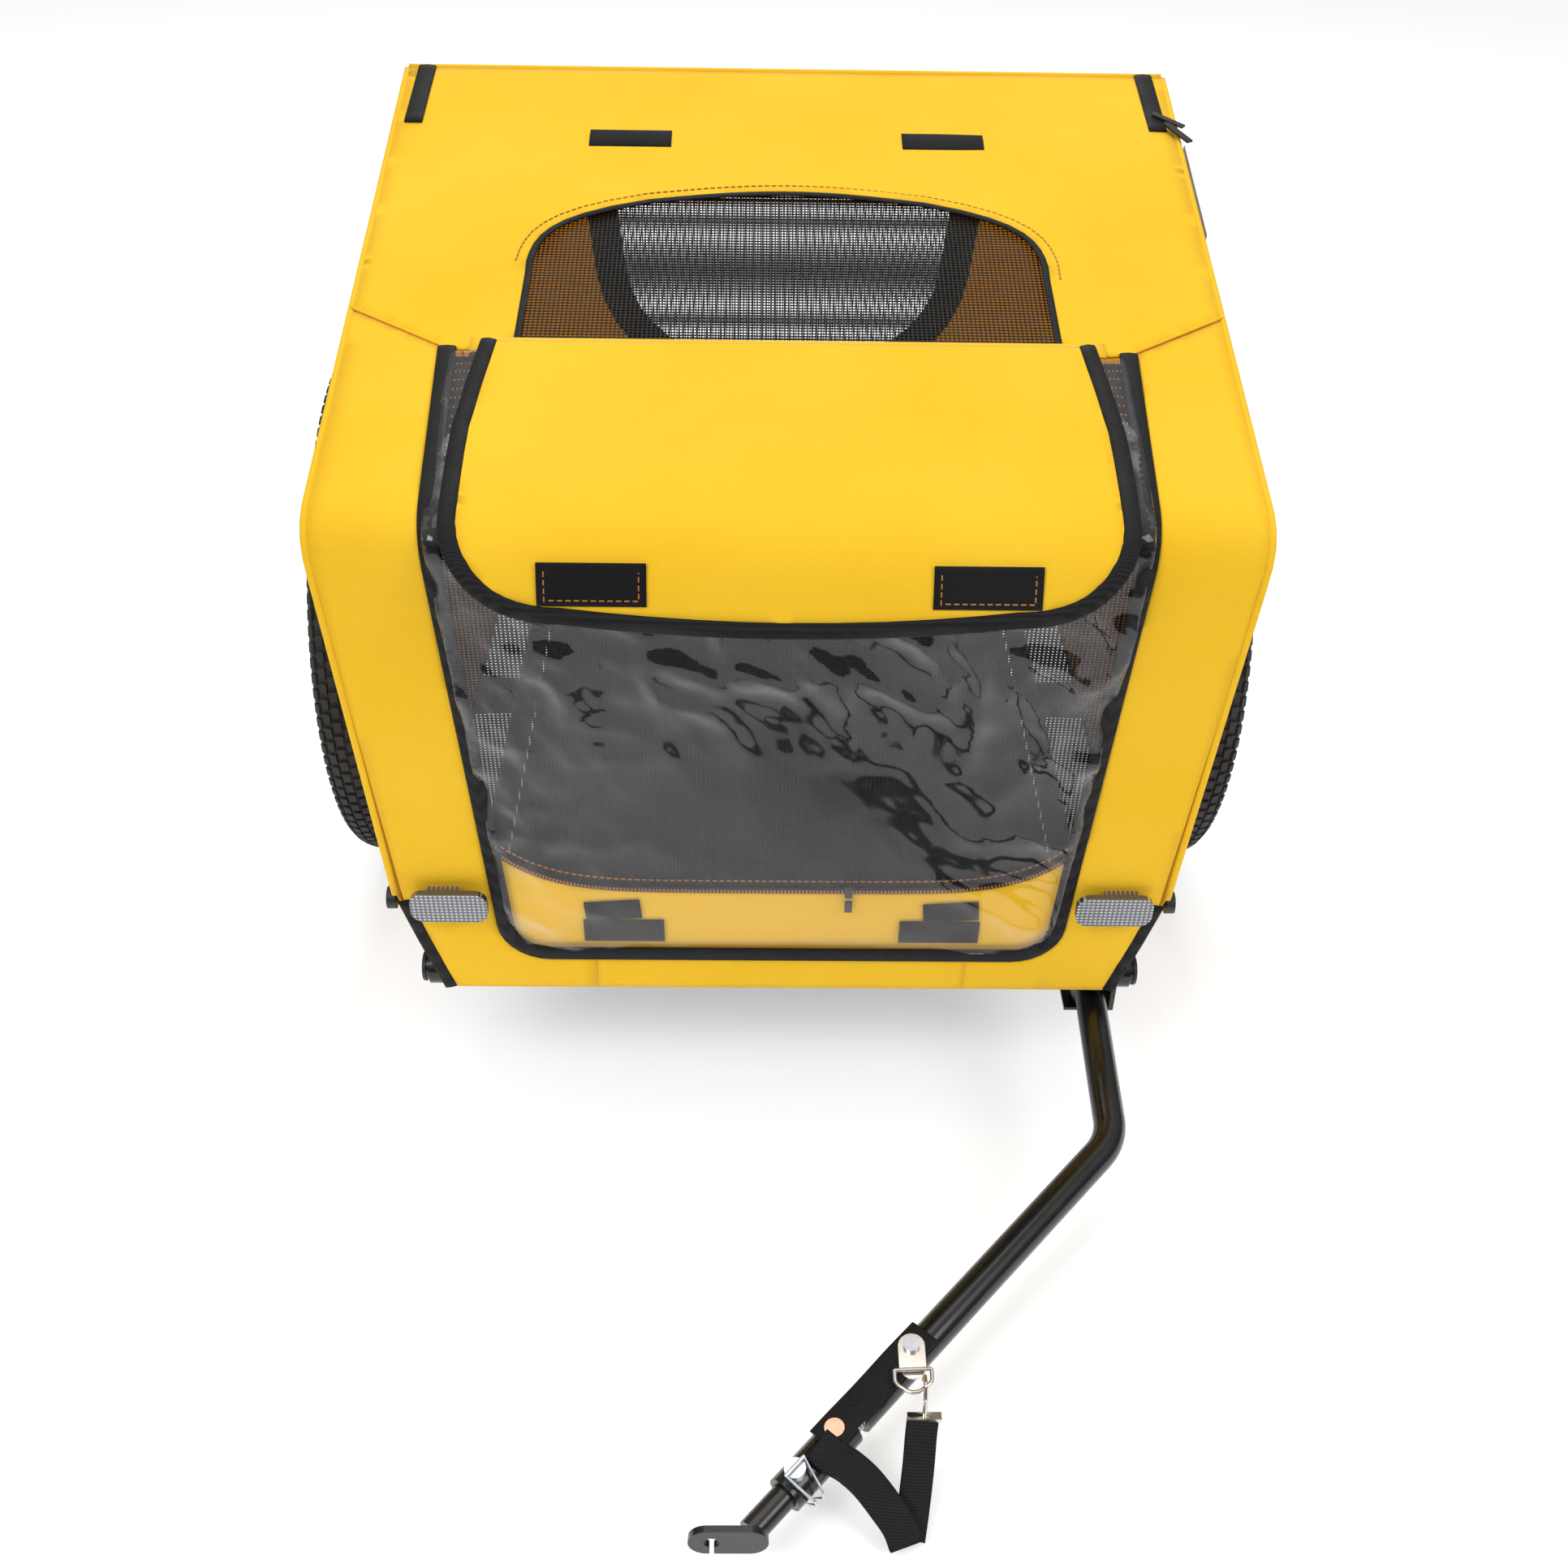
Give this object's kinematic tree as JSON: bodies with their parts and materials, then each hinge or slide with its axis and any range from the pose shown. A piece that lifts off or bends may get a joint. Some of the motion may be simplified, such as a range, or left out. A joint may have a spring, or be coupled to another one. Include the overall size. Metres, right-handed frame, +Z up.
{
  "type": "child bicycle trailer",
  "caption": "Enclosed fabric-bodied bicycle trailer with folding tube hoops, spoked wheels, mesh windows, a sun flap, a rain cover and a bent tow arm with a flexible coupler.",
  "frame": {"origin": "on the floor, in the middle of the trailer's box with the tow arm out", "axes": "+Z up, -Y towards the bicycle, +X towards the trailer's left side, where the tow arm starts"},
  "size_m": [0.841, 1.116, 0.7217],
  "materials": {
    "yellow_fabric": "woven polyester",
    "black_webbing": "woven webbing",
    "black_mesh": "open mesh",
    "clear_film": "glossy film",
    "seat_fabric": "padded fabric",
    "gloss_black_steel": "gloss",
    "black_plastic": "satin",
    "floor_fabric": "coated fabric",
    "tyre_rubber": "matte",
    "aluminium": "satin",
    "zinc_steel": "zinc plated",
    "nickel": "nickel plated",
    "copper": "copper plated",
    "clear_reflector": "prismatic"
  },
  "bodies": {
    "root": {"arm_bracket": "gloss_black_steel", "arm_pivot_bolt": "zinc_steel", "axle_bracket_left": "gloss_black_steel", "axle_bracket_right": "gloss_black_steel", "backrest": "seat_fabric", "bar_caps": "black_plastic", "floor_panel": "floor_fabric", "front_bar": "gloss_black_steel", "front_door_mesh": "black_mesh", "front_panel": "yellow_fabric", "harness_buckles": "black_plastic", "harness_straps": "black_webbing", "rain_cover": "clear_film", "rear_bar": "gloss_black_steel", "rear_door_mesh": "black_mesh", "rear_hoop_lugs": "gloss_black_steel", "rear_panel": "yellow_fabric", "roof_hooks": "black_webbing", "roof_panel": "yellow_fabric", "roof_window_mesh": "black_mesh", "seat_cushion": "seat_fabric", "side_panel_left": "yellow_fabric", "side_panel_right": "yellow_fabric", "side_rail_left": "gloss_black_steel", "side_rail_right": "gloss_black_steel", "stub_axle_left": "zinc_steel", "stub_axle_right": "zinc_steel"},
    "wheel_left": {"tyre_left": "tyre_rubber", "rim_left": "aluminium", "spokes_left": "zinc_steel", "hub_left": "zinc_steel"},
    "wheel_right": {"tyre_right": "tyre_rubber", "rim_right": "aluminium", "spokes_right": "zinc_steel", "hub_right": "zinc_steel"},
    "axle_button_left": {"axle_button_left": "black_plastic"},
    "axle_button_right": {"axle_button_right": "black_plastic"},
    "front_hoop": {"front_hoop": "gloss_black_steel"},
    "hoop_lock_left": {"hoop_lock_left": "black_plastic"},
    "hoop_lock_right": {"hoop_lock_right": "black_plastic"},
    "rear_hoop": {"rear_hoop": "gloss_black_steel"},
    "canopy_top": {"flap_hem": "yellow_fabric"},
    "sun_flap": {"sun_flap": "yellow_fabric", "flap_patches": "black_webbing"},
    "reflectors": {"front_reflectors": "clear_reflector"},
    "tow_arm": {"arm_tube": "gloss_black_steel", "strap_run": "black_webbing", "strap_loop": "black_webbing", "ring_bracket": "nickel", "ring_bolt": "zinc_steel", "d_ring": "nickel", "snap_hook": "nickel", "coupler_spring": "zinc_steel"},
    "coupler": {"coupler_sleeve": "gloss_black_steel", "hitch_insert": "gloss_black_steel", "strap_rivet": "copper"},
    "clevis_pin": {"clevis_pin": "zinc_steel"},
    "pin_bail": {"pin_bail": "zinc_steel"}
  },
  "joints": [
    {"name": "wheel_left_spin", "type": "hinge", "parent": "root", "child": "wheel_left", "pos_m": [0.385, 0.31, 0.248], "axis": [1, 0, 0], "continuous": true},
    {"name": "wheel_right_spin", "type": "hinge", "parent": "root", "child": "wheel_right", "pos_m": [-0.385, 0.31, 0.248], "axis": [1, 0, 0], "continuous": true},
    {"name": "axle_button_left_press", "type": "slide", "parent": "root", "child": "axle_button_left", "axis": [-1, 0, 0], "range_m": [0, 0.002], "stiffness_N_per_m": 600, "springref_m": -0.001},
    {"name": "axle_button_right_press", "type": "slide", "parent": "root", "child": "axle_button_right", "axis": [1, 0, 0], "range_m": [0, 0.002], "stiffness_N_per_m": 600, "springref_m": -0.001},
    {"name": "fold", "type": "hinge", "parent": "root", "child": "front_hoop", "pos_m": [0, -0.112, 0.145], "axis": [-1, 0, 0], "range_deg": [0, 91], "deforming": ["front_panel", "roof_panel", "side_panel_left", "side_panel_right", "rear_panel", "roof_window_mesh", "rear_door_mesh", "front_door_mesh", "rain_cover", "roof_hooks", "seat_cushion", "backrest", "harness_straps", "harness_buckles"]},
    {"name": "hoop_lock_left_pull", "type": "slide", "parent": "front_hoop", "child": "hoop_lock_left", "axis": [1, 0, 0], "range_m": [0, 0.008], "stiffness_N_per_m": 600, "springref_m": -0.002},
    {"name": "hoop_lock_right_pull", "type": "slide", "parent": "front_hoop", "child": "hoop_lock_right", "axis": [-1, 0, 0], "range_m": [0, 0.008], "stiffness_N_per_m": 600, "springref_m": -0.002},
    {"name": "rear_hoop_fold", "type": "hinge", "parent": "root", "child": "rear_hoop", "pos_m": [0, 0.463, 0.185], "axis": [1, 0, 0], "range_deg": [0, 78.2]},
    {"name": "canopy_drop", "type": "slide", "parent": "root", "child": "canopy_top", "axis": [0, 0, -1], "range_m": [0, 0.362], "deforming": ["sun_flap", "flap_patches", "flap_hem"]},
    {"name": "sun_flap_hinge", "type": "hinge", "parent": "canopy_top", "child": "sun_flap", "pos_m": [0, 0.02, 0.63], "axis": [-1, 0, 0], "range_deg": [0, 165]},
    {"name": "reflector_drop", "type": "slide", "parent": "root", "child": "reflectors", "axis": [0, 0, -1], "range_m": [0, 0.083]},
    {"name": "tow_arm_swing", "type": "hinge", "parent": "root", "child": "tow_arm", "pos_m": [0.262, -0.095, 0.1125], "axis": [0, 0, -1], "range_deg": [0, 130]},
    {"name": "coupler_flex", "type": "hinge", "parent": "tow_arm", "child": "coupler", "pos_m": [0.0489, -0.47545, 0.05162], "axis": [-0.0793, -0.0846, 0.9933], "range_deg": [-15, 15], "stiffness_Nm_per_rad": 20, "deforming": ["strap_run", "strap_loop", "coupler_spring"]},
    {"name": "pin_bail_swing", "type": "hinge", "parent": "clevis_pin", "child": "pin_bail", "pos_m": [0.00804, -0.51905, 0.0676], "axis": [-0.6791, -0.7248, -0.116], "range_deg": [0, 100]},
    {"name": "clevis_pin_pull", "type": "slide", "parent": "coupler", "child": "clevis_pin", "axis": [-0.0793, -0.0846, 0.9933], "range_m": [0, 0.034]}
  ],
  "couplings": [
    {"joint": "rear_hoop_fold", "follows": "fold", "ratio": 0.85934},
    {"joint": "canopy_drop", "follows": "fold", "m_per_rad": 0.22792},
    {"joint": "reflector_drop", "follows": "fold", "m_per_rad": 0.05225},
    {"joint": "clevis_pin_pull", "follows": "pin_bail_swing", "m_per_rad": 0.01948}
  ]
}
